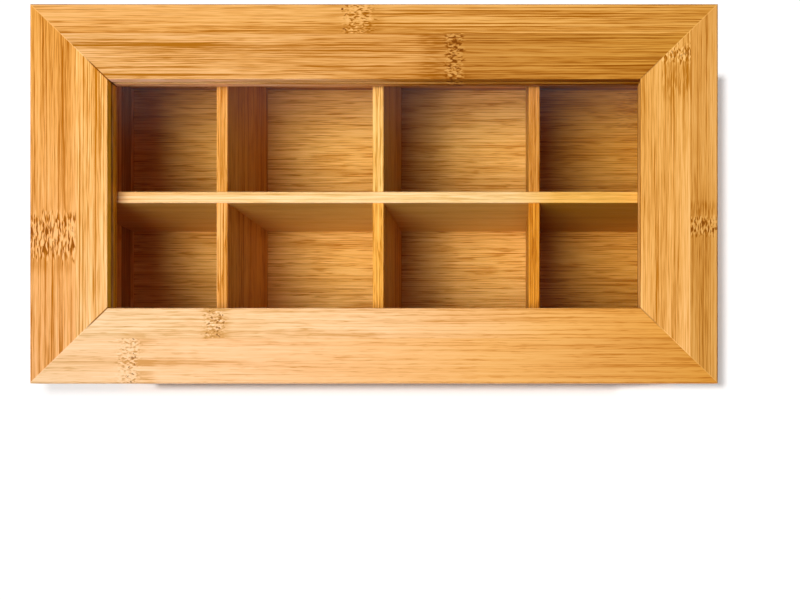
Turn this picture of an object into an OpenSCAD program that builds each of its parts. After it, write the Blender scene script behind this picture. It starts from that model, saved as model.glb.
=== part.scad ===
// Bamboo box with eight compartments for tea sachets and a hinged lid with a clear window.
// Origin at the middle of the footprint, +X along the length, +Y to the hinged back, +Z up.

/* [Overall size] */
// Length of the lid, the longest size of the box
lid_length = 359; // [320:1:420]
// Depth of the lid from front to back
lid_depth = 198; // [170:1:240]
// Height of the closed box
box_height = 89; // [75:1:120]
// Thickness of the four walls
wall_thickness = 12; // [11:0.5:14]
// How far the lid stands past the front and side walls
lid_lip = 2.5; // [0.5:0.5:3]

/* [Lid frame] */
// Thickness of the frame
lid_thickness = 10; // [9:0.5:14]
// Width of the left and right stiles
stile_width = 40.5; // [34:0.5:50]
// Width of the front and back rails
rail_width = 39.3; // [34:0.1:50]
// Radius of the frame's upper outer edge
lid_edge_radius = 1; // [0.5:0.25:3]
// Radius of the frame's other long edges
lid_inner_radius = 0.5; // [0.3:0.1:1.2]

/* [Window] */
// Thickness of the clear pane
pane_thickness = 2; // [1.5:0.5:3]
// How far the pane's edges sit in the frame
pane_bite = 5.5; // [4:0.5:7]
// Free space past the pane's edges in the groove
pane_gap = 0.5; // [0:0.25:1]

/* [Mitre tongues] */
// Thickness of the hidden tongue in each mitre
tongue_thickness = 3; // [2:0.5:4]
// Width of the tongue, half of it in each board
tongue_width = 12; // [8:1:12]
// Distance from the frame's outer corner to the tongue
tongue_start = 12; // [12:1:14]
// Distance from the tongue to the window's corner
tongue_end = 17; // [15:1:20]

/* [Walls] */
// Number of fingers and gaps stacked in each corner
finger_count = 7; // [5:2:9]
// Radius of the upright corners
corner_radius = 1.5; // [1:0.25:3]
// Radius of the walls' lower edges
foot_radius = 1.2; // [0.5:0.1:2]
// Radius of the walls' upper edges
rim_radius = 0.6; // [0.3:0.1:1]

/* [Finger scoop] */
// Width of the scoop where it meets the lid
scoop_width = 42; // [30:1:60]
// Height of the scoop
scoop_height = 12; // [8:1:16]
// Deepest cut of the scoop's ball into the front wall
scoop_depth = 5; // [3:0.5:6]

/* [Bottom panel] */
// Thickness of the panel
bottom_thickness = 4; // [3:0.5:5]
// Height of the panel's underside
bottom_lift = 3; // [2:0.5:4]
// How far the panel's edges sit in the walls
bottom_bite = 4; // [3:0.5:6]
// Free space past the panel's edges in the groove
bottom_gap = 0.5; // [0:0.25:1]

/* [Dividers] */
// Thickness of the dividers
divider_thickness = 6; // [5:0.5:8]
// How far the long divider's top lies under the rim
long_divider_drop = 2; // [2:0.5:12]
// How far the cross dividers' tops lie under the long divider's top
cross_divider_drop = 1; // [0.5:0.5:8]
// Depth of the slots that hold the dividers' ends
housing_depth = 1.5; // [0.5:0.25:1.75]
// Radius of the dividers' upper edges
divider_edge_radius = 0.5; // [0.3:0.1:1.5]

/* [Hinges] */
// Distance from the middle of the box to the middle of each hinge
hinge_offset = 108; // [60:1:115]
// Length of each hinge
hinge_length = 30; // [24:1:34]
// Width of each leaf from the pin to its edge
leaf_width = 7.8; // [7.4:0.1:8]
// Thickness of the leaves
leaf_thickness = 0.95; // [0.8:0.05:1.1]
// Outer radius of the knuckles
knuckle_radius = 1.9; // [1.8:0.05:2]
// Radius of the pin
pin_radius = 1; // [0.8:0.05:1.1]
// Number of knuckles on one hinge, an odd number
knuckle_count = 5; // [3:2:7]
// Distance of the pin's axis in front of the back face
pin_inset = 2.4; // [2.2:0.1:2.6]
// Angle at which the lid comes to rest against the back wall
opening_angle = 100; // [92:1:110]

/* [Hinge screws] */
// Radius of the countersunk heads
screw_head_radius = 1.7; // [1.4:0.1:1.8]
// Radius of the shanks
screw_shank_radius = 0.8; // [0.6:0.1:0.9]
// Length of each screw, head included
screw_length = 7; // [5:0.5:7]
// Distance between the two screws in a leaf
screw_spacing = 18; // [12:1:18]

/* [Hidden] */
$fn = 64;

// Colours of the pieces
lid_colour = [0.90, 0.68, 0.38];
wall_colour = [0.86, 0.62, 0.32];
floor_colour = [0.80, 0.55, 0.28];
long_divider_colour = [0.96, 0.80, 0.56];
cross_divider_colour = [0.90, 0.64, 0.32];
pane_colour = [0.85, 0.92, 0.95, 0.35];
brass_colour = [0.80, 0.62, 0.26];
screw_colour = [0.86, 0.72, 0.38];

// Outer faces of the walls: the back wall is flush with the lid
rim_z = box_height - lid_thickness;
outer_x = lid_length / 2 - lid_lip;
front_y = -lid_depth / 2 + lid_lip;
back_y = lid_depth / 2;
middle_y = (front_y + back_y) / 2;

// Inner faces of the walls and the floor
inner_x = outer_x - wall_thickness;
inner_front_y = front_y + wall_thickness;
inner_back_y = back_y - wall_thickness;
floor_z = bottom_lift + bottom_thickness;

// The three cross dividers in a row stand at even distances
column_width = (2 * inner_x - 3 * divider_thickness) / 4;
divider_pitch = column_width + divider_thickness;
long_divider_top = rim_z - long_divider_drop;
cross_divider_top = long_divider_top - cross_divider_drop;

// Where the cross dividers of the front row, -1, and of the back row, 1, begin and end
function row_ends(row) = row < 0
    ? [inner_front_y - housing_depth, middle_y - divider_thickness / 2 + housing_depth]
    : [middle_y + divider_thickness / 2 - housing_depth, inner_back_y + housing_depth];

// Corner joints: front and back walls hold the lowest and the highest finger
finger_height = rim_z / finger_count;
wall_fingers = [0:2:finger_count - 1];
side_fingers = [1:2:finger_count - 2];

// Window pane
window_x = lid_length / 2 - stile_width;
window_y = lid_depth / 2 - rail_width;
pane_z = rim_z + (lid_thickness - pane_thickness) / 2;

// Finger scoop: a ball that cuts the front face in a round patch, whose middle lies above the rim
scoop_patch_radius = (scoop_height * scoop_height + scoop_width * scoop_width / 4) / (2 * scoop_height);
scoop_ball_radius = (scoop_patch_radius * scoop_patch_radius + scoop_depth * scoop_depth)
    / (2 * scoop_depth);
scoop_middle_z = rim_z - scoop_height + scoop_patch_radius;

// Hinge: the back edges are bevelled around the pin's axis and meet when the lid is open
pin_y = back_y - pin_inset;
bevel_angle = opening_angle / 2;
bevel_gap = 0.2;
leaf_gap = 0.05;
knuckle_gap = 0.2;
knuckle_clearance = 0.2;
pin_clearance = 0.04;
end_clearance = 0.2;
recess_clearance = 0.1;
knuckle_pitch = hinge_length / knuckle_count;
even_knuckles = [0:2:knuckle_count - 1];
odd_knuckles = [1:2:knuckle_count - 2];
leaf_depth = leaf_gap + leaf_thickness;
screw_y = -(leaf_width + knuckle_radius + knuckle_clearance) / 2;
screw_head_height = screw_head_radius - screw_shank_radius;
screw_tip_length = 1.2;
slot_width = 0.45;
slot_length = 2.2;
slot_depth = 0.5;

// Slack on cutting shapes, so that they pass the faces they open
slack = 1;

// Rectangle with its four corners rounded, from the lower left one counterclockwise
module rounded_rectangle(size, radii) {
    corners = [[0, 0, 0], [size.x, 0, 90], [size.x, size.y, 180], [0, size.y, 270]];
    difference() {
        square(size);
        for (i = [0:3])
            if (radii[i] > 0)
                translate([corners[i].x, corners[i].y])
                    rotate(corners[i].z)
                        difference() {
                            translate([-slack, -slack]) square(radii[i] + slack);
                            translate([radii[i], radii[i]]) circle(radii[i]);
                        }
    }
}

// The box body's outside with all its edges eased: its walls are cut from this
module body_envelope() {
    size = [2 * outer_x, back_y - front_y, rim_z];
    intersection() {
        translate([-outer_x, front_y, 0])
            linear_extrude(rim_z)
                rounded_rectangle([size.x, size.y], [1, 1, 1, 1] * corner_radius);
        translate([-outer_x - slack, front_y, 0])
            rotate([90, 0, 90])
                linear_extrude(size.x + 2 * slack)
                    rounded_rectangle([size.y, size.z], [foot_radius, foot_radius, 0, rim_radius]);
        translate([-outer_x, back_y + slack, 0])
            rotate([90, 0, 0])
                linear_extrude(size.y + 2 * slack)
                    rounded_rectangle([size.x, size.z], [foot_radius, foot_radius, rim_radius, rim_radius]);
    }
}

// The corner blocks that one pair of walls leaves to the other, at the given finger levels
module corner_blocks(levels) {
    block = wall_thickness + slack;
    for (x = [-outer_x - slack, inner_x], y = [front_y - slack, inner_back_y], level = levels)
        translate([x, y, level * finger_height])
            cube([block, block, finger_height]);
}

// Space for the bottom panel's edges, with the free space that lets the panel move
module bottom_groove() {
    reach = bottom_bite + bottom_gap;
    translate([-inner_x - reach, inner_front_y - reach, bottom_lift])
        cube([2 * (inner_x + reach), inner_back_y - inner_front_y + 2 * reach, bottom_thickness]);
}

// The long divider's full block, ends included
module long_divider_block() {
    translate([-inner_x - housing_depth, middle_y - divider_thickness / 2, floor_z])
        cube([2 * (inner_x + housing_depth), divider_thickness, long_divider_top - floor_z]);
}

// A cross divider's full block, ends included: row -1 is the front one, column -1 the left one
module cross_divider_block(row, column) {
    ends = row_ends(row);
    translate([column * divider_pitch - divider_thickness / 2, ends[0], floor_z])
        cube([divider_thickness, ends[1] - ends[0], cross_divider_top - floor_z]);
}

module cross_divider_row(row) {
    for (column = [-1:1])
        cross_divider_block(row, column);
}

// Upright section of a divider, thickness by height, with eased upper edges
module divider_section(height) {
    translate([-divider_thickness / 2, 0])
        rounded_rectangle([divider_thickness, height], [0, 0, 1, 1] * divider_edge_radius);
}

// Both back edges are cut away in a V around the pin's axis, all along the box
module back_bevel() {
    reach = pin_inset + bevel_gap + slack;
    rise = reach * tan(bevel_angle);
    translate([-lid_length / 2 - slack, pin_y - bevel_gap, rim_z])
        rotate([90, 0, 90])
            linear_extrude(lid_length + 2 * slack)
                polygon([[0, 0], [reach, -rise], [reach, rise]]);
}

// Places a shape at the middle of a hinge, on the pin's axis: side -1 is the left one
module at_hinge(side) {
    translate([side * hinge_offset, pin_y, rim_z])
        children();
}

// Round bar along the pin's axis
module axis_bar(radius, from, to) {
    translate([from, 0, 0])
        rotate([0, 90, 0])
            cylinder(r = radius, h = to - from);
}

// Knuckles on one hinge: even ones belong to the body's leaf, odd ones to the lid's
module knuckle_bars(numbers, radius, shrink) {
    for (i = numbers)
        axis_bar(radius, -hinge_length / 2 + i * knuckle_pitch + shrink,
            -hinge_length / 2 + (i + 1) * knuckle_pitch - shrink);
}

// Countersunk screw with its head's top at the origin, pointing down
module screw_blank() {
    shank_length = screw_length - screw_head_height - screw_tip_length;
    rotate([180, 0, 0]) {
        cylinder(r1 = screw_head_radius, r2 = screw_shank_radius, h = screw_head_height);
        translate([0, 0, screw_head_height])
            cylinder(r = screw_shank_radius, h = shank_length);
        translate([0, 0, screw_head_height + shank_length])
            cylinder(r1 = screw_shank_radius, r2 = 0.1, h = screw_tip_length);
    }
}

module hinge_screw() {
    difference() {
        screw_blank();
        for (turn = [0, 90])
            rotate(turn)
                translate([-slot_length / 2, -slot_width / 2, -slot_depth])
                    cube([slot_length, slot_width, slot_depth + slack]);
    }
}

// Places a shape at each of a hinge's screws in the body's leaf, a little under the leaf's face
module at_leaf_screws() {
    for (x = [-screw_spacing / 2, screw_spacing / 2])
        translate([x, screw_y, -leaf_gap])
            children();
}

// A hinge leaf that lies under the joint plane, flat on top: own knuckles carry it on the pin
module hinge_leaf(own_knuckles, other_knuckles, bore_radius) {
    difference() {
        union() {
            difference() {
                translate([-hinge_length / 2, -leaf_width, -leaf_depth])
                    cube([hinge_length, leaf_width, leaf_thickness]);
                knuckle_bars(other_knuckles, knuckle_radius + knuckle_clearance, 0);
            }
            knuckle_bars(own_knuckles, knuckle_radius, knuckle_gap / 2);
        }
        axis_bar(bore_radius, -hinge_length / 2 - slack, hinge_length / 2 + slack);
        at_leaf_screws() screw_blank();
    }
}

// Everything that a board gives up to one half of a hinge, for the half under the joint plane
module hinge_recess() {
    half = hinge_length / 2 + recess_clearance;
    translate([-half, -leaf_width - recess_clearance, -leaf_depth])
        cube([2 * half, leaf_width + recess_clearance, leaf_depth + slack]);
    axis_bar(knuckle_radius + knuckle_clearance, -half - end_clearance, half + end_clearance);
    at_leaf_screws() screw_blank();
}

module lid_half() {
    mirror([0, 0, 1]) children();
}

module body_leaf(side) {
    color(brass_colour)
        at_hinge(side)
            hinge_leaf(even_knuckles, odd_knuckles, pin_radius);
}

module lid_leaf(side) {
    color(brass_colour)
        at_hinge(side)
            lid_half()
                hinge_leaf(odd_knuckles, even_knuckles, pin_radius + pin_clearance);
}

// Pin with a small chamfer at both ends
module hinge_pin(side) {
    chamfer = 0.25;
    half = hinge_length / 2;
    color(screw_colour)
        at_hinge(side)
            rotate([0, 90, 0])
                rotate_extrude()
                    polygon([
                        [0, -half], [pin_radius - chamfer, -half], [pin_radius, -half + chamfer],
                        [pin_radius, half - chamfer], [pin_radius - chamfer, half], [0, half]
                    ]);
}

module hinge_body_screws() {
    color(screw_colour)
        for (side = [-1, 1])
            at_hinge(side) at_leaf_screws() hinge_screw();
}

module hinge_lid_screws() {
    color(screw_colour)
        for (side = [-1, 1])
            at_hinge(side) lid_half() at_leaf_screws() hinge_screw();
}

module front_wall() {
    color(wall_colour)
        difference() {
            intersection() {
                body_envelope();
                translate([-outer_x, front_y, 0])
                    cube([2 * outer_x, wall_thickness, rim_z]);
            }
            corner_blocks(side_fingers);
            bottom_groove();
            cross_divider_row(-1);
            translate([0, front_y + scoop_depth - scoop_ball_radius, scoop_middle_z])
                sphere(scoop_ball_radius);
        }
}

module back_wall() {
    color(wall_colour)
        difference() {
            intersection() {
                body_envelope();
                translate([-outer_x, inner_back_y, 0])
                    cube([2 * outer_x, wall_thickness, rim_z]);
            }
            corner_blocks(side_fingers);
            bottom_groove();
            cross_divider_row(1);
            back_bevel();
            for (side = [-1, 1])
                at_hinge(side) hinge_recess();
        }
}

// The left wall, or the right one for side 1
module side_wall(side) {
    color(wall_colour)
        difference() {
            intersection() {
                body_envelope();
                translate([side < 0 ? -outer_x : inner_x, front_y, 0])
                    cube([wall_thickness, back_y - front_y, rim_z]);
            }
            corner_blocks(wall_fingers);
            bottom_groove();
            long_divider_block();
        }
}

module bottom_panel() {
    color(floor_colour)
        translate([-inner_x - bottom_bite, inner_front_y - bottom_bite, bottom_lift])
            cube([
                2 * (inner_x + bottom_bite),
                inner_back_y - inner_front_y + 2 * bottom_bite,
                bottom_thickness
            ]);
}

// Runs unbroken from the left wall to the right one, with a slot for each cross divider
module long_divider() {
    color(long_divider_colour)
        difference() {
            translate([-inner_x - housing_depth, middle_y, floor_z])
                rotate([90, 0, 90])
                    linear_extrude(2 * (inner_x + housing_depth))
                        divider_section(long_divider_top - floor_z);
            cross_divider_row(-1);
            cross_divider_row(1);
        }
}

// One of six short dividers, each housed in an outer wall and in the long divider
module cross_divider(row, column) {
    ends = row_ends(row);
    color(cross_divider_colour)
        translate([column * divider_pitch, ends[1], floor_z])
            rotate([90, 0, 0])
                linear_extrude(ends[1] - ends[0])
                    divider_section(cross_divider_top - floor_z);
}

// Section of a lid board: width inwards from the outer edge, height upwards, pane groove inside
module lid_board_section(width) {
    groove_depth = pane_bite + pane_gap;
    difference() {
        rounded_rectangle([width, lid_thickness],
            [lid_inner_radius, lid_inner_radius, lid_inner_radius, lid_edge_radius]);
        translate([width - groove_depth, pane_z - rim_z])
            square([groove_depth + slack, pane_thickness]);
    }
}

// One hidden tongue in each mitre, glued into both boards
module tongue_blocks() {
    mitre_length = norm([stile_width, rail_width]);
    for (x = [0, 1], y = [0, 1])
        mirror([x, 0, 0])
            mirror([0, y, 0])
                translate([-lid_length / 2, -lid_depth / 2, rim_z + (lid_thickness - tongue_thickness) / 2])
                    rotate(atan2(rail_width, stile_width))
                        translate([tongue_start, -tongue_width / 2, 0])
                            cube([
                                mitre_length - tongue_start - tongue_end,
                                tongue_width,
                                tongue_thickness
                            ]);
}

// Cuts a board's length to its mitred outline
module mitred(outline) {
    intersection() {
        children();
        translate([0, 0, rim_z - slack])
            linear_extrude(lid_thickness + 2 * slack)
                polygon(outline);
    }
}

module front_rail_blank() {
    outline = [
        [-lid_length / 2, -lid_depth / 2], [lid_length / 2, -lid_depth / 2],
        [window_x, -window_y], [-window_x, -window_y]
    ];
    mitred(outline)
        translate([-lid_length / 2, -lid_depth / 2, rim_z])
            rotate([90, 0, 90])
                linear_extrude(lid_length)
                    lid_board_section(rail_width);
}

module left_stile_blank() {
    outline = [
        [-lid_length / 2, -lid_depth / 2], [-window_x, -window_y],
        [-window_x, window_y], [-lid_length / 2, lid_depth / 2]
    ];
    mitred(outline)
        translate([-lid_length / 2, lid_depth / 2, rim_z])
            rotate([90, 0, 0])
                linear_extrude(lid_depth)
                    lid_board_section(stile_width);
}

module lid_front_rail() {
    color(lid_colour)
        difference() {
            front_rail_blank();
            tongue_blocks();
        }
}

module lid_back_rail() {
    color(lid_colour)
        difference() {
            mirror([0, 1, 0]) front_rail_blank();
            tongue_blocks();
            back_bevel();
            for (side = [-1, 1])
                at_hinge(side) lid_half() hinge_recess();
        }
}

module lid_left_stile() {
    color(lid_colour)
        difference() {
            left_stile_blank();
            tongue_blocks();
            back_bevel();
        }
}

module lid_right_stile() {
    mirror([1, 0, 0]) lid_left_stile();
}

// Clear sheet, held in the frame's groove all round
module lid_window_pane() {
    color(pane_colour)
        translate([-window_x - pane_bite, -window_y - pane_bite, pane_z])
            cube([2 * (window_x + pane_bite), 2 * (window_y + pane_bite), pane_thickness]);
}

module lid_mitre_tongues() {
    color(floor_colour) tongue_blocks();
}

front_wall();
back_wall();
side_wall(-1);  // left_wall
side_wall(1);  // right_wall
bottom_panel();
long_divider();
cross_divider(-1, -1);  // cross_divider_front_left
cross_divider(-1, 0);  // cross_divider_front_middle
cross_divider(-1, 1);  // cross_divider_front_right
cross_divider(1, -1);  // cross_divider_back_left
cross_divider(1, 0);  // cross_divider_back_middle
cross_divider(1, 1);  // cross_divider_back_right
body_leaf(-1);  // left_hinge_body_leaf
body_leaf(1);  // right_hinge_body_leaf
hinge_pin(-1);  // left_hinge_pin
hinge_pin(1);  // right_hinge_pin
hinge_body_screws();
lid_front_rail();
lid_back_rail();
lid_left_stile();
lid_right_stile();
lid_window_pane();
lid_mitre_tongues();
lid_leaf(-1);  // left_hinge_lid_leaf
lid_leaf(1);  // right_hinge_lid_leaf
hinge_lid_screws();
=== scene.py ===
import math
import bpy
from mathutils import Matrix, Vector


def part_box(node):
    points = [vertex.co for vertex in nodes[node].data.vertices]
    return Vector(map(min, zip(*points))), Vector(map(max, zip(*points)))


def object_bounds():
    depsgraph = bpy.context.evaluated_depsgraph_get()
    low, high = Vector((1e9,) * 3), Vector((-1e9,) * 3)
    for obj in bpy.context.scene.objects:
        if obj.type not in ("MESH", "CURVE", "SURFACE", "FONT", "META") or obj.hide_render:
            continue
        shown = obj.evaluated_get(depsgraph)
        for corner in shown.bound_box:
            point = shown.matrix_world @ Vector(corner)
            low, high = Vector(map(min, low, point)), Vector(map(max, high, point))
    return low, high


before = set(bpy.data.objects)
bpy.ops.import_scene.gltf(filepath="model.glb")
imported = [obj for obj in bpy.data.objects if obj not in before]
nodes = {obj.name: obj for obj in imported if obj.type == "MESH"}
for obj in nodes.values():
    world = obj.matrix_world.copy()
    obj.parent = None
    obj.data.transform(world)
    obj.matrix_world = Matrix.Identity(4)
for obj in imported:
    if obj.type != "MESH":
        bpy.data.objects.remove(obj)    # bodies box and lid; a board, leaf or pin is a node, as are each body's screws
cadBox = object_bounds()
bpy.ops.object.select_all(action="DESELECT")
bpy.context.scene.view_settings.view_transform = "Standard"
print("frame loaded:", len(nodes), "nodes")


def paint(red, green, blue):
    # a colour as a screen shows it, 0 to 255, turned into the light it stands for
    shares = (red / 255, green / 255, blue / 255)
    return tuple(c / 12.92 if c < 0.0405 else ((c + 0.055) / 1.055) ** 2.4 for c in shares) + (1,)


def pick(sockets, name):
    if isinstance(name, int):
        return sockets[name]
    return next(s for s in sockets if s.name == name and s.enabled)


class Wire:
    # what leaves a socket; sums and products of wires become Math nodes
    def __init__(self, finish, socket):
        self.finish = finish
        self.socket = socket

    def maths(self, operation, *inputs):
        return self.finish.add("ShaderNodeMath", {"operation": operation}, dict(enumerate(inputs)))

    def __add__(self, other):
        return self.maths("ADD", self, other)

    def __radd__(self, other):
        return self.maths("ADD", other, self)

    def __sub__(self, other):
        return self.maths("SUBTRACT", self, other)

    def __rsub__(self, other):
        return self.maths("SUBTRACT", other, self)

    def __mul__(self, other):
        return self.maths("MULTIPLY", self, other)

    def __truediv__(self, other):
        return self.maths("DIVIDE", self, other)

    def __pow__(self, other):
        return self.maths("POWER", self, other)

    def __mod__(self, other):
        return self.maths("FLOORED_MODULO", self, other)

    def __abs__(self):
        return self.maths("ABSOLUTE", self)

    def __gt__(self, other):
        return self.maths("GREATER_THAN", self, other)

    def __lt__(self, other):
        return self.maths("LESS_THAN", self, other)

    def least(self, other):
        return self.maths("MINIMUM", self, other)

    def most(self, other):
        return self.maths("MAXIMUM", self, other)


class Finish:
    # one material and its nodes
    def __init__(self, name):
        self.material = bpy.data.materials.new(name)
        self.material.use_nodes = True
        self.tree = self.material.node_tree
        self.tree.nodes.clear()

    def add(self, kind, settings=None, inputs=None, out=0):
        # settings are set before the sockets, because some of them change the sockets
        node = self.tree.nodes.new(kind)
        for name, value in (settings or {}).items():
            if name == "stops":
                self.setStops(node.color_ramp, value)
            else:
                setattr(node, name, value)
        for name, value in (inputs or {}).items():
            socket = pick(node.inputs, name)
            if isinstance(value, Wire):
                self.tree.links.new(value.socket, socket)
            else:
                socket.default_value = value
        if out is None:
            return None
        if isinstance(out, tuple):
            return tuple(Wire(self, pick(node.outputs, name)) for name in out)
        return Wire(self, pick(node.outputs, out))

    def setStops(self, ramp, stops):
        while len(ramp.elements) < len(stops):
            ramp.elements.new(1)
        for element, (position, colour) in zip(ramp.elements, stops):
            element.position = position
            element.color = colour

    def millimetres(self):
        place = self.add("ShaderNodeTexCoord", out="Object")
        return self.add("ShaderNodeVectorMath", {"operation": "SCALE"}, {0: place, "Scale": 1000})

    def parts(self, vector):
        return self.add("ShaderNodeSeparateXYZ", None, {0: vector}, ("X", "Y", "Z"))

    def vector(self, x, y, z):
        return self.add("ShaderNodeCombineXYZ", None, {0: x, 1: y, 2: z})

    def shrunk(self, vector, x, y, z):
        # a pattern of size 1 on this vector comes out x by y by z millimetres large
        return self.add("ShaderNodeVectorMath", {"operation": "DIVIDE"}, {0: vector, 1: (x, y, z)})

    def noise(self, vector, detail=2.0, rough=0.5):
        return self.add("ShaderNodeTexNoise", {"noise_dimensions": "3D"},
                        {"Vector": vector, "Scale": 1, "Detail": detail, "Roughness": rough})

    def grains(self, vector):
        # distance to the nearest of many scattered points
        return self.add("ShaderNodeTexVoronoi", {"voronoi_dimensions": "3D", "feature": "F1"},
                        {"Vector": vector, "Scale": 1, "Randomness": 1}, "Distance")

    def luck(self, number):
        # one random share for each whole number
        return self.add("ShaderNodeTexWhiteNoise", {"noise_dimensions": "1D"}, {"W": number}, "Value")

    def ease(self, value, start, end, low=0.0, high=1.0):
        return self.add("ShaderNodeMapRange", {"interpolation_type": "SMOOTHSTEP"},
                        {"Value": value, "From Min": start, "From Max": end, "To Min": low, "To Max": high})

    def blend(self, first, second, share, kind="MIX"):
        return self.add("ShaderNodeMix", {"data_type": "RGBA", "blend_type": kind},
                        {"Factor": share, "A": first, "B": second}, "Result")

    def bump(self, height, strength, distance):
        return self.add("ShaderNodeBump", None,
                        {"Strength": strength, "Distance": distance, "Height": height}, "Normal")

    def end(self, surface):
        self.add("ShaderNodeOutputMaterial", None, {"Surface": surface}, None)
        return self.material


def dress(name, material):
    for holder in nodes[name].material_slots:
        holder.material = material


camera = {
    "height": 0.400,             # above the lid's top
    "place": (0.0699, -0.1087),  # the camera looks straight down on this point
    "lens": 34.54,
    "shift": (-0.135, 0.1275),   # brings the lid to its place in the frame
}


def makeCamera():
    lens = bpy.data.cameras.new("camera")
    lens.lens = camera["lens"]
    lens.sensor_width = 36
    lens.shift_x, lens.shift_y = camera["shift"]
    lens.clip_start = 0.01
    lens.clip_end = 20
    eye = bpy.data.objects.new("camera", lens)
    eye.location = (*camera["place"], cadBox[1].z + camera["height"])
    bpy.context.scene.collection.objects.link(eye)
    bpy.context.scene.camera = eye


makeCamera()
print("camera placed")


studio = {
    "softbox": {                  # a round soft lamp above the box, to its left
        "place": (-0.206, -0.068, 0.758),
        "aim": (1.93, 1.39, -1),  # turned away from the near side, so the lid is lit evenly
        "width": 0.675,
        "level": 0.81,            # at the middle of the box's bottom
    },
    "floorLamps": [               # light only the floor, so the shadow there stays as tight as the photo's:
        (0.62, (17.8, -0.1), 3.5),    # level, degrees it leans to the left and the front, its width
        (0.28, (-27, -2.4), 4),
    ],
    "fills": [                    # level, direction round the box and height, in degrees
        (0.09, 205, 24),
        (0.05, 25, 24),
    ],
    "fillWidth": 50,
    "ambient": 0.09,
    "floorSize": 12.0,
    "floorLift": 0.03,            # makes the open floor fully white and keeps the shadow
}


def placeLamp(name, lamp, direction, place=(0, 0, 0)):
    # direction points from the box to the lamp
    holder = bpy.data.objects.new(name, lamp)
    holder.location = place
    holder.rotation_mode = "QUATERNION"
    holder.rotation_quaternion = Vector(direction).to_track_quat("Z", "Y")
    holder.visible_camera = False
    holder.visible_glossy = False
    bpy.context.scene.collection.objects.link(holder)
    return holder


def makeSun(name, level, direction, width):
    lamp = bpy.data.lights.new(name, "SUN")
    lamp.energy = level * math.pi / Vector(direction).normalized().z
    lamp.angle = math.radians(width)
    return placeLamp(name, lamp, direction)


def makeSoftbox():
    facts = studio["softbox"]
    lamp = bpy.data.lights.new("softbox", "AREA")
    lamp.shape = "DISK"
    lamp.size = facts["width"]
    ray = Vector(facts["place"]) - Vector((0, 0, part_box("bottom_panel")[1][2]))
    aim = Vector(facts["aim"]).normalized()
    spread = -ray.normalized().dot(aim) * ray.normalized().z / ray.length_squared
    lamp.energy = facts["level"] * math.pi ** 2 / spread
    return placeLamp("softbox", lamp, -aim, facts["place"])


def lightOnly(holder, piece, state):
    # state says if the lamp leaves this piece out or lights nothing else
    group = bpy.data.collections.new(f"{holder.name}Pieces")
    group.objects.link(piece)
    group.collection_objects[0].light_linking.link_state = state
    holder.light_linking.receiver_collection = group


def makeLights(floor):
    lightOnly(makeSoftbox(), floor, "EXCLUDE")
    for number, (level, lean, width) in enumerate(studio["floorLamps"]):
        left, front = (math.tan(math.radians(angle)) for angle in lean)
        lightOnly(makeSun(f"floorLamp{number}", level, (-left, -front, 1), width), floor, "INCLUDE")
    for number, (level, around, height) in enumerate(studio["fills"]):
        flat = math.cos(math.radians(height))
        direction = (flat * math.cos(math.radians(around)), flat * math.sin(math.radians(around)),
                     math.sin(math.radians(height)))
        makeSun(f"fillLight{number}", level * direction[2], direction, studio["fillWidth"])


def makeWorld():
    # white where the camera, gloss or glass sees it, and a low even light elsewhere
    world = bpy.data.worlds.new("studio")
    world.use_nodes = True
    bpy.context.scene.world = world
    sky = Finish("studioSky")
    sky.tree = world.node_tree
    sky.tree.nodes.clear()
    seen, glossy, through = sky.add("ShaderNodeLightPath", None, None,
                                    ("Is Camera Ray", "Is Glossy Ray", "Is Transmission Ray"))
    seen = seen.most(glossy).most(through)
    strength = seen * (1 - studio["ambient"]) + studio["ambient"]
    white = sky.add("ShaderNodeBackground", None, {"Color": (1, 1, 1, 1), "Strength": strength})
    sky.add("ShaderNodeOutputWorld", None, {"Surface": white}, None)


def makeFloor():
    bpy.ops.mesh.primitive_plane_add(size=studio["floorSize"])
    floor = bpy.context.object
    floor.name = "studioFloor"
    finish = Finish("studioFloor")
    seen = finish.add("ShaderNodeLightPath", out="Is Camera Ray")
    paper = finish.add("ShaderNodeBsdfDiffuse", None, {"Color": (0.98, 0.98, 0.98, 1)})
    lift = finish.add("ShaderNodeEmission", None, {"Strength": seen * studio["floorLift"]})
    both = finish.add("ShaderNodeAddShader", None, {0: paper, 1: lift})
    floor.data.materials.append(finish.end(both))
    return floor


makeWorld()
makeLights(makeFloor())
print("studio ready")


def millimetreBox(name):
    low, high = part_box(name)
    return [v * 1000 for v in low], [v * 1000 for v in high]


def middle(name, letter):
    # the middle of a piece along one axis, where its two layers of bamboo meet
    low, high = millimetreBox(name)
    axis = "xyz".index(letter)
    return (low[axis] + high[axis]) / 2


lacquer = {
    "specular": 0.1,
    "roughness": 0.40,
    "coat": 0.04,
    "coatRoughness": 0.22,
    "polish": 0.22,        # how much the roughness changes from place to place
    "darker": 0.10,        # how much rougher a dark fibre is
    "ends": 0.12,          # and end grain
    "bump": (0.35, 0.00006),    # strength, and depth in metres
}

fibre = {
    "dark": (0.56, 0.39, 0.05, 1),      # what the darkest fibres do to a board's tone
    "bright": (1.20, 1.40, 2.10, 1),    # and the palest
    "scar": (0.27, 0.14, 0.01, 1),      # dark dots, marks and gaps
    "cutDark": (0.40, 0.29, 0.18, 1),   # end grain
    "cutPale": (0.78, 0.68, 0.55, 1),
}

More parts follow.
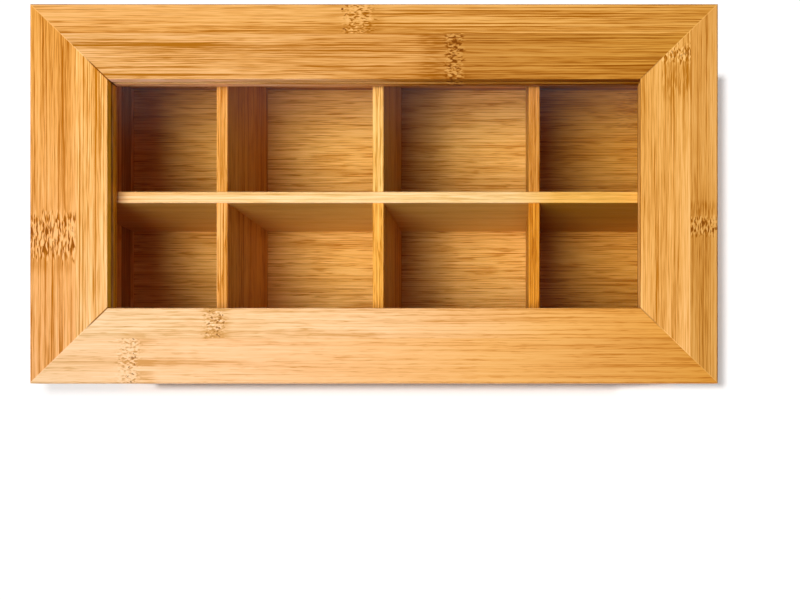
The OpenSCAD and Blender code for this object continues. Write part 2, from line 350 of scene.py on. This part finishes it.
plainBoard = {
    "strips": [],              # where one bamboo strip ends and the next begins, across the board
    "layers": [],              # and through its thickness
    "stripContrast": 0.16,
    "broad": 0.9,              # strength of the broad changes of tone, and of the finest fibres
    "fine": 1.2,
    "streaks": (300, 1.0, 2.2),     # soft streaks: length, width and strength
    "livelier": (900, 901, 1),      # from here to here along the board they grow this much stronger
    "longLines": (240, 1.7, 0.6),   # thin dark fibres: length, spacing and strength
    "shortLines": (38, 1.1, 0.4),
    "sway": 1.6,               # how far the fibres wander over a long way
    "wave": (11, 0.25),        # and over this short one
    "seam": 0.22,              # how dark the glue lines are
    "dark": fibre["dark"],
    "bright": fibre["bright"],
    "culms": [],
    "extras": [],
    "sideTone": (1, 1, 1, 1),  # painted shade: a divider's sides darker than its lit top
    "sideRange": (900, 901),   # the heights where the painted shade starts and is full
}

beyond = 400    # farther out than any board reaches

plainCulm = {
    "trim": (-beyond, beyond),    # where in its strip it may show, across the board
    "jag": 4,              # how far its line wanders along the grain
    "reach": 7,
    "bend": 1.1,           # how far the fibres part beside it
    "marks": (3.2, 0.75),  # length and width of its dashes
    "dark": 1.2,
    "pale": 0.7,
    "dots": (0, 1.5),      # place of a band of dark dots beside it and half the band's width
    "dotStrength": 0.0,
    "haze": (8, 7, 0.2),   # place, width and strength of a browner patch beside it
    "hazeGrain": 2.2,
}


def board(**changes):
    return {**plainBoard, **changes}


def culm(at, strip, **changes):
    # at is its place along the board, strip the number of the strip it crosses, or None for all
    return {**plainCulm, "at": at, "strip": strip, **changes}


pattern = {                # sizes in millimetres: along the fibres, then across them
    "slide": 700,          # how far a strip's luck moves its pattern along the board
    "turn": 60,            # and through it
    "sway": (150, 16),
    "waveWidth": 3,
    "broad": (160, 9),
    "fine": (18, 0.45),
    "polish": (30, 6),
    "pores": (30, 0.75),
    "patches": (0.4, 3),   # patches without lines, as shares of a line's length and spacing
    "seam": (0.28, 0.08),  # where a glue line starts and where it is full
    "ragged": 2.4,         # a culm's line
    "ends": (8, 1.1),      # how its marks run out
    "parting": (3.4, 1.8),
    "dots": 2.2,
}

limits = {                 # the levels of a noise or a slope between which each feature fades in
    "line": (0.06, 0.015),
    "lineGaps": (0.40, 0.58),
    "darkMarks": (0.48, 0.36),
    "paleMarks": (0.53, 0.64),
    "dots": (0.34, 0.2),
    "haze": (0.38, 0.55),
    "pores": (0.15, 0.42),
    "endGrain": (0.6, 0.9),      # how squarely a face looks along the grain
    "innerFaceLight": (0.75, 0.98),   # or to the inner side, where painted light and shade go
}


class Grain:
    # where a point lies in its board: along, across and through it, in millimetres
    def __init__(self, finish, board):
        self.finish = finish
        axes = dict(zip("xyz", finish.parts(finish.millimetres())))
        self.x, self.y, self.z = axes["x"], axes["y"], axes["z"]
        self.along, self.across, self.through = (axes[letter] for letter in board["grain"])
        self.strip = sum(self.across > edge for edge in board["strips"])
        layer = sum(self.through > edge for edge in board["layers"])
        self.luck = finish.luck(self.strip + layer * 11 + board["seed"])
        self.slid = self.along + self.luck * pattern["slide"]
        straight = finish.vector(self.slid, self.across, self.through)
        length, width = pattern["sway"]
        sway = finish.noise(finish.shrunk(straight, length, width, width), 1)
        length, height = board["wave"]
        width = pattern["waveWidth"]
        wave = finish.noise(finish.shrunk(straight, length, width, width), 1)
        self.level = self.across + (sway - 0.5) * board["sway"] + (wave - 0.5) * height
        self.normal = dict(zip("xyz", finish.parts(finish.add("ShaderNodeTexCoord", out="Normal"))))

    def toneAlong(self, tones):
        # tones is a dictionary of colours by their place along the board
        places = sorted(tones)
        start, length = places[0], places[-1] - places[0]
        stops = [((place - start) / length, tones[place]) for place in places]
        return self.finish.add("ShaderNodeValToRGB", {"stops": stops},
                               {"Fac": (self.along - start) / length}, "Color")

    def fibres(self, length, width):
        # the board's stretched coordinates, for a pattern of this length and width
        bent = self.finish.vector(self.slid, self.level, self.through + self.luck * pattern["turn"])
        return self.finish.shrunk(bent, length, width, width)

    def lines(self, length, spacing, strength):
        # thin dark fibres, where a stretched noise crosses its middle
        value = self.finish.noise(self.fibres(length, spacing), 1)
        longer, wider = pattern["patches"]
        patches = self.finish.noise(self.fibres(length * longer, spacing * wider), 1)
        line = self.finish.ease(abs(value - 0.5), *limits["line"])
        return line * self.finish.ease(patches, *limits["lineGaps"]) * strength


def seams(grain, board):
    # thin glue lines between the strips and the layers
    gaps = [abs(grain.across - edge) for edge in board["strips"]]
    gaps += [abs(grain.through - edge) for edge in board["layers"]]
    if not gaps:
        return 0
    nearest = gaps[0]
    for gap in gaps[1:]:
        nearest = nearest.least(gap)
    return grain.finish.ease(nearest, *pattern["seam"]) * board["seam"]


def culmNode(grain, board, culm):
    # a joint of the cane: its fibres part and break into dark and pale marks round a ragged line
    finish = grain.finish
    low, high = culm["trim"]
    if culm["strip"] is not None:
        edges = [-beyond, *board["strips"], beyond]
        low = max(low, edges[culm["strip"]])
        high = min(high, edges[culm["strip"] + 1])
    inside = (grain.across > low) * (grain.across < high)
    size = pattern["ragged"]
    ragged = finish.noise(finish.vector(grain.across / size, grain.through / size, culm["at"]), 2)
    gap = grain.along - culm["at"] - (ragged - 0.5) * culm["jag"]
    length, width = pattern["ends"]
    ends = finish.noise(finish.vector(grain.along / length, grain.across / width, culm["at"]), 1)
    ends = ends * 1.2 + 0.4
    near = finish.ease(abs(gap) / ends, culm["reach"], culm["reach"] * 0.35) * inside
    flames = finish.vector(gap, grain.across, grain.through + culm["at"])
    length, width = pattern["parting"]
    parting = finish.noise(finish.shrunk(flames, length, width, width), 1)
    grain.level = grain.level + (parting - 0.5) * near * culm["bend"]
    length, width = culm["marks"]
    bent = finish.vector(gap, grain.level, grain.through + culm["at"])
    marks = finish.noise(finish.shrunk(bent, length, width, width), 1, 0.6)
    dark = finish.ease(marks, *limits["darkMarks"]) * near
    pale = finish.ease(marks, *limits["paleMarks"]) * near
    place, half = culm["dots"]
    size = pattern["dots"]
    spots = finish.grains(finish.shrunk(flames, size, size, size))
    inBand = (abs(gap - place) < half) * inside
    dots = finish.ease(spots, *limits["dots"]) * inBand * culm["dotStrength"]
    offset, width, strength = culm["haze"]
    haze = finish.ease(abs(grain.along - culm["at"] - offset), width, width * 0.2) * inside * strength
    size = culm["hazeGrain"]
    lighter = finish.noise(finish.shrunk(bent, size * 10, size, size), 1)
    haze = haze * finish.ease(lighter, *limits["haze"])
    change = pale * culm["pale"] - dark * culm["dark"] - haze
    return change, (dark * culm["dark"] * 0.35).most(dots)


def boardTone(grain, board):
    # the board's colour along its length, with a second row of tones for its last strip, and painted shade on a
    # divider's sides
    finish = grain.finish
    rows = [grain.toneAlong(tones) for tones in board["tones"]]
    tone = rows[0]
    if len(rows) > 1:
        tone = finish.blend(rows[0], rows[1], grain.strip)
    return finish.blend(tone, board["sideTone"], finish.ease(grain.across, *board["sideRange"]), "MULTIPLY")


def bamboo(name, board):
    finish = Finish(name)
    grain = Grain(finish, board)
    scars = 0                                                    # 0 plain wood, 1 a dark mark
    shade = 0.6 + (grain.luck - 0.5) * board["stripContrast"]    # 0 the darkest fibre, 1 the palest
    changes = [culmNode(grain, board, culm) for culm in board["culms"]]
    changes += [extra(grain) for extra in board["extras"]]
    for change, scar in changes:
        shade = shade + change
        scars = scar.most(scars)
    length, width, strength = board["streaks"]
    broad = finish.noise(grain.fibres(*pattern["broad"]), 1)
    streaks = finish.noise(grain.fibres(length, width), 3, 0.66)
    fine = finish.noise(grain.fibres(*pattern["fine"]), 2, 0.6)
    first, last, growth = board["livelier"]
    strength = finish.ease(grain.along, first, last, strength, strength * growth)
    shade = shade + (broad - 0.5) * board["broad"] + (streaks - 0.5) * strength
    shade = shade + (fine - 0.5) * board["fine"] - grain.lines(*board["longLines"])
    shade = (shade - grain.lines(*board["shortLines"]) - seams(grain, board)).most(0).least(1)

    tone = boardTone(grain, board)
    dark = finish.blend(tone, board["dark"], 1, "MULTIPLY")
    bright = finish.blend(tone, board["bright"], 1, "MULTIPLY")
    colour = finish.blend(finish.blend(dark, tone, shade * 2), bright, shade * 2 - 1)
    colour = finish.blend(colour, finish.blend(tone, fibre["scar"], 1, "MULTIPLY"), scars)

    cut = finish.ease(abs(grain.normal[board["grain"][0]]), *limits["endGrain"])
    pores = finish.ease(finish.grains(grain.fibres(*pattern["pores"])), *limits["pores"])
    endGrain = finish.blend(finish.blend(tone, fibre["cutDark"], 1, "MULTIPLY"),
                            finish.blend(tone, fibre["cutPale"], 1, "MULTIPLY"), pores)
    colour = finish.blend(colour, endGrain, cut)
    if "innerTone" in board:
        colour = innerFaceLight(grain, board, colour)

    polish = finish.noise(grain.fibres(*pattern["polish"]), 2)
    rough = lacquer["roughness"] + (polish - 0.5) * lacquer["polish"]
    rough = rough - (shade - 0.5) * lacquer["darker"] + cut * lacquer["ends"]
    normal = finish.bump(fine, *lacquer["bump"])
    return finish.end(finish.add("ShaderNodeBsdfPrincipled", None, {
        "Base Color": colour, "Roughness": rough, "Normal": normal,
        "Specular IOR Level": lacquer["specular"],
        "Coat Weight": lacquer["coat"], "Coat Roughness": lacquer["coatRoughness"],
    }, "BSDF"))


def innerFaceLight(grain, board, colour):
    # a face that looks to the inner side, such as a lid board's edge at the window, takes painted light and shade
    # along its length, paler where it stands for a highlight and darker where it stands for shade
    letter, sign = board["innerSide"]
    facing = grain.finish.ease(grain.normal[letter] * sign, *limits["innerFaceLight"])
    paintedLight = grain.toneAlong(board["innerTone"])
    return grain.finish.blend(colour, paintedLight, facing, "MULTIPLY")


lidCorner = millimetreBox("lid_front_rail")[1][0], millimetreBox("lid_back_rail")[1][1]
windowCorner = millimetreBox("lid_right_stile")[0][0], millimetreBox("lid_back_rail")[0][1]
lidMiddle = middle("lid_window_pane", "z")
mitre = {
    "line": 0.16,          # half the width of the fine line where two boards meet
    # how pale the fine line is: a painted highlight along the joint
    "jointHighlight": 0.4,
    "gap": 0.42,           # and of the open gap beside the window's corners
    "gapReach": (152, 146),    # the gap closes between these distances from the middle
    "gapDepth": (1.0, 0.5),   # how dark it is on the left and on the right
}


def mitreLine(grain):
    # the boards meet along a line from each outer corner to the window's corner; the pale fine line along it is a
    # painted highlight, the gap a dark joint
    finish = grain.finish
    wide = lidCorner[0] - windowCorner[0]
    deep = lidCorner[1] - windowCorner[1]
    across = abs(grain.x) - lidCorner[0]
    down = abs(grain.y) - lidCorner[1]
    distance = abs(across * deep - down * wide) / math.hypot(wide, deep)
    left, right = mitre["gapDepth"]
    depth = finish.ease(abs(grain.x), *mitre["gapReach"]) * (right + (grain.x < 0) * (left - right))
    fineLine = finish.ease(distance, mitre["line"] * 2, mitre["line"])
    gap = finish.ease(distance, mitre["gap"], mitre["gap"] * 0.5) * depth
    return fineLine * mitre["jointHighlight"], gap


edgeShade = {
    "width": 0.9,
    "back": 0.45,     # how much painted shade darkens the lid's rounded edges
    "right": 0.30,
    "left": 0.15,
    "front": 0.12,
}


def shadedEdges(grain):
    # painted shade along the lid's rounded outer edges, darkest at the back and right, which face away from the light
    finish = grain.finish
    width = edgeShade["width"]
    edges = [(lidCorner[1] - grain.y, edgeShade["back"]), (lidCorner[0] - grain.x, edgeShade["right"]),
             (grain.x + lidCorner[0], edgeShade["left"]), (grain.y + lidCorner[1], edgeShade["front"])]
    darkest = 0
    for distance, strength in edges:
        darkest = (finish.ease(distance, width, width * 0.3) * strength).most(darkest)
    return darkest * -1, darkest * 0.3


lidExtras = [mitreLine, shadedEdges]
# each lid board's tones along its length are partly the bamboo's own and partly painted light: the front rail's pale
# left end is partly a painted sheen, and the darkening towards the right and the back is partly painted shade
lidBoards = {
    "lid_back_rail": board(
        grain="xyz", seed=3, strips=[83.4], layers=[lidMiddle], extras=lidExtras, livelier=(-10, 50, 2.2),
        fine=1.7, sway=0.9, wave=(14, 0.12), streaks=(300, 0.75, 1.6),
        longLines=(260, 1.1, 0.65), shortLines=(60, 0.8, 0.35),
        tones=[{-180: paint(228, 168, 97), 20: paint(214, 149, 72), 46: paint(191, 126, 48),
                180: paint(204, 135, 42)},
               {-180: paint(224, 157, 78), 0: paint(219, 155, 75), 180: paint(218, 149, 57)}],
        # its edge at the window: a painted highlight at the left end and painted shade towards the right
        innerSide=("y", -1), innerTone={-139: (1.4, 1.5, 2.6, 1), -20: (1.2, 1.35, 2.0, 1),
                                        15: (0.75, 0.6, 0.2, 1), 139: (0.42, 0.26, 0.05, 1)},
        culms=[culm(-8, 1, reach=10, dark=0.9, pale=0.6, marks=(2.4, 0.9), dots=(-8, 1.3),
                    dotStrength=1),
               culm(42, 0, reach=6, jag=4, marks=(2.6, 0.9), pale=1.7, dark=2.0, dots=(0, 2),
                    dotStrength=0.6, haze=(-12, 9, 0.3), hazeGrain=0.8)]),
    "lid_front_rail": board(
        grain="xyz", seed=8, strips=[-75.5], layers=[lidMiddle], extras=lidExtras,
        dark=(0.72, 0.58, 0.34, 1), bright=(1.06, 1.16, 1.34, 1), wave=(9, 0.6), livelier=(-40, 120, 2.0),
        streaks=(120, 0.8, 1.7), longLines=(120, 1.6, 0.2), shortLines=(24, 0.8, 0.3), stripContrast=0.06,
        tones=[{-180: paint(246, 200, 148), -60: paint(246, 190, 134), 60: paint(238, 173, 96),
                180: paint(223, 149, 55)},
               {-180: paint(247, 207, 158), 0: paint(246, 194, 138), 90: paint(238, 172, 92),
                180: paint(230, 154, 54)}],
        culms=[culm(-83, 1, reach=7, dark=0.9, pale=0.5, marks=(2, 1), dots=(0, 5),
                    dotStrength=0.8, haze=(1, 9, 0.5)),
               culm(-128, 0, reach=8, dark=0.5, pale=0.8, marks=(2, 1), dots=(1.5, 2),
                    dotStrength=0.8, haze=(9, 8, 0.4))]),
    "lid_left_stile": board(
        grain="yxz", seed=15, strips=[-155.4], layers=[lidMiddle], extras=lidExtras,
        fine=1.7, sway=0.8, wave=(11, 0.1), streaks=(300, 0.75, 1.6),
        longLines=(300, 1.1, 0.65), shortLines=(80, 0.8, 0.3),
        tones=[{-99: paint(239, 169, 97), 99: paint(227, 154, 64)},
               {-99: paint(247, 187, 117), 99: paint(245, 175, 87)}],
        # its edge at the window darker: painted shade
        innerSide=("x", 1), innerTone={-60: (0.85, 0.76, 0.08, 1), 60: (0.85, 0.76, 0.08, 1)},
        culms=[culm(-22, 0, reach=14, marks=(5.0, 0.8), bend=0.9, jag=7, dark=2.2,
                    pale=2.0, dots=(0, 3), dotStrength=0.4, haze=(-14, 8, 0.2))]),
    "lid_right_stile": board(
        grain="yxz", seed=22, strips=[165.1], layers=[lidMiddle], extras=lidExtras, wave=(11, 0.15),
        streaks=(300, 0.75, 1.1), longLines=(300, 1.2, 0.4), shortLines=(60, 0.9, 0.15), fine=1.3,
        # its edge at the window darker: painted shade
        innerSide=("x", -1), innerTone={-60: (0.55, 0.48, 0.35, 1), 60: (0.55, 0.48, 0.35, 1)},
        tones=[{-99: paint(245, 177, 94), 99: paint(239, 173, 84)},
               {-99: paint(218, 152, 68), -20: paint(217, 151, 67), 10: paint(226, 159, 74),
                99: paint(226, 158, 72)}],
        culms=[culm(73, 0, trim=(150, beyond), reach=6, marks=(3, 0.8), dark=1.3, pale=0.9, dots=(0, 2),
                    dotStrength=0.5, haze=(-14, 14, 0.35), hazeGrain=0.9),
               culm(-17, 1, reach=6, marks=(3.6, 0.9), dark=1.9, pale=1.2, haze=(9, 6, 0.3),
                    hazeGrain=0.9)]),
    "lid_mitre_tongues": board(
        grain="xyz", seed=31, tones=[{-180: paint(210, 150, 80), 180: paint(206, 144, 74)}]),
}

for name, facts in lidBoards.items():
    dress(name, bamboo(name, facts))
print("lid boards finished")


corner = {
    "inner": (millimetreBox("right_wall")[0][0], millimetreBox("front_wall")[1][1],
              millimetreBox("back_wall")[0][1]),    # inner faces of the side, front and back walls
    "finger": millimetreBox("front_wall")[1][2] / 7,
    "line": 0.12,
}


def fingerLines(grain):
    # the corners' finger joints show as thin dark lines
    finish = grain.finish
    side, front, back = corner["inner"]
    level = grain.z / corner["finger"]
    odd = (level % 2) > 1
    reach = corner["line"]
    upright = finish.ease(abs(abs(grain.x) - side), reach * 1.8, reach * 0.6) * odd
    gap = abs(grain.y - front).least(abs(grain.y - back))
    turned = finish.ease(gap, reach * 1.8, reach * 0.6) * (1 - odd)
    inCorner = (abs(grain.x) > side) * ((grain.y < front) + (grain.y > back))
    flat = abs((level + 0.5) % 1 - 0.5) * corner["finger"]
    lying = finish.ease(flat, reach * 1.8, reach * 0.6) * inCorner
    mask = upright.most(turned).most(lying)
    return mask * -0.4, mask * 0.35


floorStrips = [-70.5 + 19.5 * i for i in range(8)]    # the bottom's strips, from front to back
sideShadeFade = (0.8, 1.8)    # how far below a divider's top the painted shade on its sides starts and is full


# the heights between which a divider's sides take their painted shade
def sideShadeHeights(name):
    top = millimetreBox(name)[1][2]
    return [top - depth for depth in sideShadeFade]


def dividerLayers(name, letter, depths):
    # where its layers meet, at these depths from its low side
    start = millimetreBox(name)[0]["xyz".index(letter)]
    return [start + depth for depth in depths]


wallTones = [{-180: paint(228, 163, 84), 0: paint(224, 157, 78), 180: paint(218, 150, 71)}]
# the bottom's tones; the darker band from 3 to 38 mm, right of the middle divider, and the darker part past 84 mm,
# right of the right dividers, are painted shade
floorTonesAndShade = [{-180: paint(239, 175, 82), -90: paint(239, 175, 82), -80: paint(244, 184, 92),
               0: paint(244, 184, 92), 3: paint(208, 152, 72), 20: paint(212, 156, 74),
               38: paint(242, 182, 90), 84: paint(242, 182, 90), 92: paint(232, 163, 66),
               180: paint(230, 160, 60)}]
boxBoards = {
    "front_wall": board(
        grain="xzy", seed=41, strips=[19.5, 38.5, 58.5], layers=[middle("front_wall", "y")],
        tones=wallTones, extras=[fingerLines], culms=[culm(-62, 1), culm(96, 3), culm(128, 0)]),
    "back_wall": board(
        grain="xzy", seed=47, strips=[20, 39, 58], layers=[middle("back_wall", "y")],
        tones=wallTones, extras=[fingerLines], culms=[culm(72, 1), culm(-35, 3), culm(-120, 0)]),
    "left_wall": board(
        grain="yzx", seed=53, strips=[19, 38, 57.5], layers=[middle("left_wall", "x")],
        tones=wallTones, extras=[fingerLines], culms=[culm(30, 2)]),
    "right_wall": board(
        grain="yzx", seed=59, strips=[20, 38.5, 58], layers=[middle("right_wall", "x")],
        tones=wallTones, extras=[fingerLines], culms=[culm(-44, 1)]),
    "bottom_panel": board(
        grain="xyz", seed=67, strips=floorStrips, layers=[middle("bottom_panel", "z")], tones=floorTonesAndShade,
        dark=(0.62, 0.42, 0.16, 1), streaks=(140, 0.6, 1.7), shortLines=(40, 0.8, 0.5),
        longLines=(110, 1.0, 0.45), fine=1.1, broad=0.6, sway=0.8, wave=(9, 0.15), stripContrast=0.1,
        culms=[culm(143, None, trim=(62, 86), reach=7, marks=(6, 0.7), bend=1.2, dark=0.35, pale=0.3)]),
    "long_divider": board(
        grain="xzy", seed=73, layers=dividerLayers("long_divider", "y", (1.85, 4.05)), strips=[30, 52],
        tones=[{-180: paint(250, 186, 110), -30: paint(254, 207, 140), 70: paint(254, 206, 136),
                95: paint(250, 188, 92), 180: paint(250, 180, 74)}],
        streaks=(200, 1.2, 0.6), longLines=(200, 2.4, 0.12), shortLines=(38, 1.3, 0.12),
        fine=0.9, broad=0.5, stripContrast=0.08,
        # the right end of its front face darker: painted shade
        innerSide=("y", -1), innerTone={-180: (1, 1, 1, 1), 80: (1, 1, 1, 1), 92: (0.76, 0.67, 0.32, 1),
                                        180: (0.76, 0.67, 0.32, 1)},
        # painted shade: the sides darker than the lit top
        sideTone=(0.77, 0.68, 0.30, 1), sideRange=sideShadeHeights("long_divider")),
}
dividerTones = {
    "front_left": paint(247, 173, 88),
    "front_middle": paint(252, 179, 78),
    "front_right": paint(230, 147, 43),
    "back_left": paint(249, 176, 88),
    "back_middle": paint(251, 190, 100),
    "back_right": paint(223, 148, 62),
}
for column, tone in dividerTones.items():
    name = f"cross_divider_{column}"
    boxBoards[name] = board(
        grain="yzx", seed=90 + len(boxBoards), strips=[28, 50],
        layers=dividerLayers(name, "x", (2.2, 3.9)), tones=[{-90: tone, 90: tone}],
        streaks=(220, 1.1, 1.6), longLines=(220, 1.9, 0.4), stripContrast=0.1,
        # painted shade: the sides darker than the lit top
        sideTone=(0.70, 0.72, 0.33, 1), sideRange=sideShadeHeights(name))

for name, facts in boxBoards.items():
    dress(name, bamboo(name, facts))
print("box boards finished")


pane = {
    "clearest": 0.001,     # share of light that the pane throws back when seen square on
    "film": 0.011,         # and what a thin film adds near the back rail
    "filmRange": (8, 62),
    "roughness": 0.02,
    "smears": (60, 25),    # the film's patches: their length and width
    "clearTint": (0.985, 0.99, 0.99, 1),
}


def windowPane():
    finish = Finish("windowPane")
    facing = finish.add("ShaderNodeLayerWeight", None, {"Blend": 0.5}, "Facing")
    place = finish.millimetres()
    length, width = pane["smears"]
    smears = finish.noise(finish.shrunk(place, length, width, width), 2)
    film = finish.ease(finish.parts(place)[1], *pane["filmRange"]) ** 2 * (smears + 0.5) * pane["film"]
    # a clear sheet throws back more light at a glancing look
    share = facing ** 5 * (1 - pane["clearest"]) + film + pane["clearest"]
    clear = finish.add("ShaderNodeBsdfTransparent", None, {"Color": pane["clearTint"]})
    gloss = finish.add("ShaderNodeBsdfGlossy", None,
                       {"Color": (1, 1, 1, 1), "Roughness": pane["roughness"]})
    return finish.end(finish.add("ShaderNodeMixShader", None, {0: share, 1: clear, 2: gloss}))


dress("lid_window_pane", windowPane())
print("pane finished")


brass = {
    "hinge": paint(222, 184, 110),
    "screw": paint(232, 200, 130),
    "tarnish": (0.62, 0.50, 0.36, 1),
    "clouds": 3,          # size of the dull clouds and of the spots
    "spots": 1.6,
    "cloudEdge": (0.42, 0.72),
    "spotEdge": (0.22, 0.05),
    "dullness": (0.55, 0.35),    # what clouds and spots add
    "scratch": 0.12,      # width of a brushed line, and its length on leaf, pin and screws
    "leafScratch": 6,
    "pinScratch": 0.3,
    "screwScratch": 0.4,
    "roughness": 0.24,
    "rougher": 0.25,      # what dullness and brushed lines add to it
    "bump": (0.25, 0.00003),
}


def brassFinish(name, colour, length):
    finish = Finish(name)
    place = finish.millimetres()
    cloud, spot, width = brass["clouds"], brass["spots"], brass["scratch"]
    clouds = finish.noise(finish.shrunk(place, cloud, cloud, cloud), 4, 0.6)
    brush = finish.noise(finish.shrunk(place, length, width, width), 2, 0.6)
    spots = finish.ease(finish.grains(finish.shrunk(place, spot, spot, spot)), *brass["spotEdge"])
    fromClouds, fromSpots = brass["dullness"]
    dull = finish.ease(clouds, *brass["cloudEdge"]) * fromClouds + spots * fromSpots
    tone = finish.blend(colour, finish.blend(colour, brass["tarnish"], 1, "MULTIPLY"), dull)
    rough = brass["roughness"] + dull * brass["rougher"] + (brush - 0.5) * brass["rougher"]
    normal = finish.bump(brush, *brass["bump"])
    return finish.end(finish.add("ShaderNodeBsdfPrincipled", None, {
        "Base Color": tone, "Metallic": 1.0, "Roughness": rough, "Normal": normal}, "BSDF"))


for side in ("left", "right"):
    for name in (f"{side}_hinge_body_leaf", f"{side}_hinge_lid_leaf"):
        dress(name, brassFinish(name, brass["hinge"], brass["leafScratch"]))
    name = f"{side}_hinge_pin"
    dress(name, brassFinish(name, brass["screw"], brass["pinScratch"]))
for name in ("hinge_body_screws", "hinge_lid_screws"):
    dress(name, brassFinish(name, brass["screw"], brass["screwScratch"]))
print("hinges finished")
